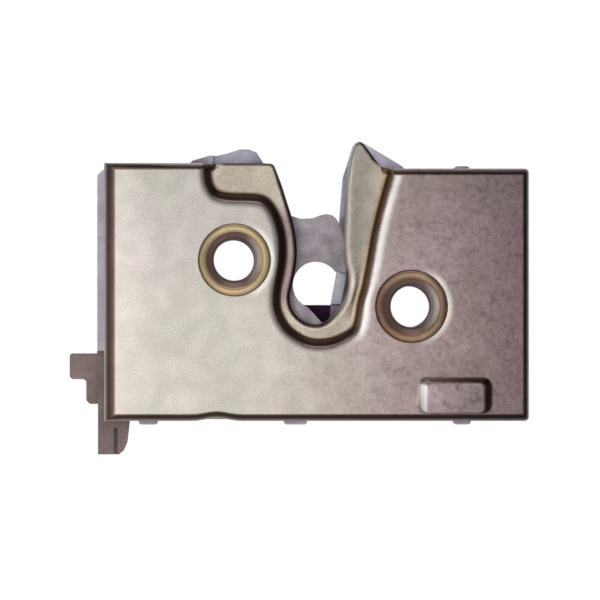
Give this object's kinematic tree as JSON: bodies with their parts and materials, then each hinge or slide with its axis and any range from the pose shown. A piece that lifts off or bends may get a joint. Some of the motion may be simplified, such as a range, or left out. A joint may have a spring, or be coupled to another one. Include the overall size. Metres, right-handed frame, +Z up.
{
  "type": "car door lock",
  "caption": "Latched rotary door lock: a pressed case with a striker mouth, a fork bolt held by a pawl, threaded mounting bushes, and release and lock levers.",
  "frame": {"origin": "centre of the latched striker pin, in the plane of the case's face", "axes": "+X along the case to the right as seen from the face, +Y from the face into the door, +Z up through the open end of the mouth"},
  "size_m": [0.0769, 0.0272, 0.0526],
  "materials": {
    "yellow_zinc": "satin, yellow passivated zinc",
    "clear_zinc": "satin, clear zinc",
    "gold_zinc": "satin, golden zinc",
    "copper_zinc": "satin, copper-toned zinc",
    "sintered_steel": "fine grained, matt",
    "dark_zinc": "satin, brown zinc",
    "bright_steel": "satin",
    "spring_steel": "drawn wire",
    "nylon": "matt",
    "rubber_black": "matt"
  },
  "bodies": {
    "case": {"front_cover": "yellow_zinc", "rear_plate": "clear_zinc", "fork_bush": "gold_zinc", "pawl_bush": "copper_zinc", "striker_buffer": "rubber_black", "fork_spring": "spring_steel", "fork_washer": "nylon", "fork_stop": "rubber_black", "pawl_spring": "spring_steel", "pawl_washer": "nylon", "lever_washer": "nylon", "lever_pivot": "bright_steel", "release_spring": "spring_steel", "spring_anchor": "bright_steel", "lock_pivot": "bright_steel", "lock_collar": "bright_steel", "lock_spring": "spring_steel", "spring_stud": "bright_steel"},
    "fork": {"fork_bolt": "sintered_steel"},
    "pawl_arm": {"pawl": "dark_zinc", "pawl_pin": "bright_steel"},
    "transfer": {"transfer_lever": "dark_zinc"},
    "release": {"release_lever": "dark_zinc"},
    "lock": {"lock_lever": "dark_zinc"},
    "dog": {"lock_dog": "nylon"}
  },
  "joints": [
    {"name": "fork_turn", "type": "hinge", "parent": "case", "child": "fork", "pos_m": [-0.01375, 0.0067, 0.00417], "axis": [0, -1, 0], "range_deg": [0, 68], "deforming": ["fork_spring"]},
    {"name": "pawl_turn", "type": "hinge", "parent": "case", "child": "pawl_arm", "pos_m": [0.01577, 0.0067, -0.00357], "axis": [0, -1, 0], "range_deg": [0, 22.4], "deforming": ["pawl_spring"]},
    {"name": "transfer_turn", "type": "hinge", "parent": "case", "child": "transfer", "pos_m": [-0.022, 0.0175, -0.0145], "axis": [0, 1, 0], "range_deg": [0, 12.8]},
    {"name": "release_turn", "type": "hinge", "parent": "case", "child": "release", "pos_m": [-0.022, 0.0198, -0.0145], "axis": [0, 1, 0], "range_deg": [0, 12.8], "stiffness_Nm_per_rad": 0.02, "springref_deg": -17.19, "deforming": ["release_spring"]},
    {"name": "lock_turn", "type": "hinge", "parent": "case", "child": "lock", "pos_m": [-0.0315, 0.0237, -0.0035], "axis": [0, 1, 0], "range_deg": [0, 21.6], "deforming": ["lock_spring"]},
    {"name": "dog_slide", "type": "slide", "parent": "transfer", "child": "dog", "axis": [0, 0, -1], "range_m": [0, 0.0038]}
  ],
  "couplings": [
    {"joint": "pawl_turn", "follows": "fork_turn", "ratio": 0.32941},
    {"joint": "transfer_turn", "follows": "fork_turn", "ratio": 0.18824},
    {"joint": "release_turn", "follows": "fork_turn", "ratio": 0.18824},
    {"joint": "dog_slide", "follows": "lock_turn", "m_per_rad": 0.009284}
  ]
}
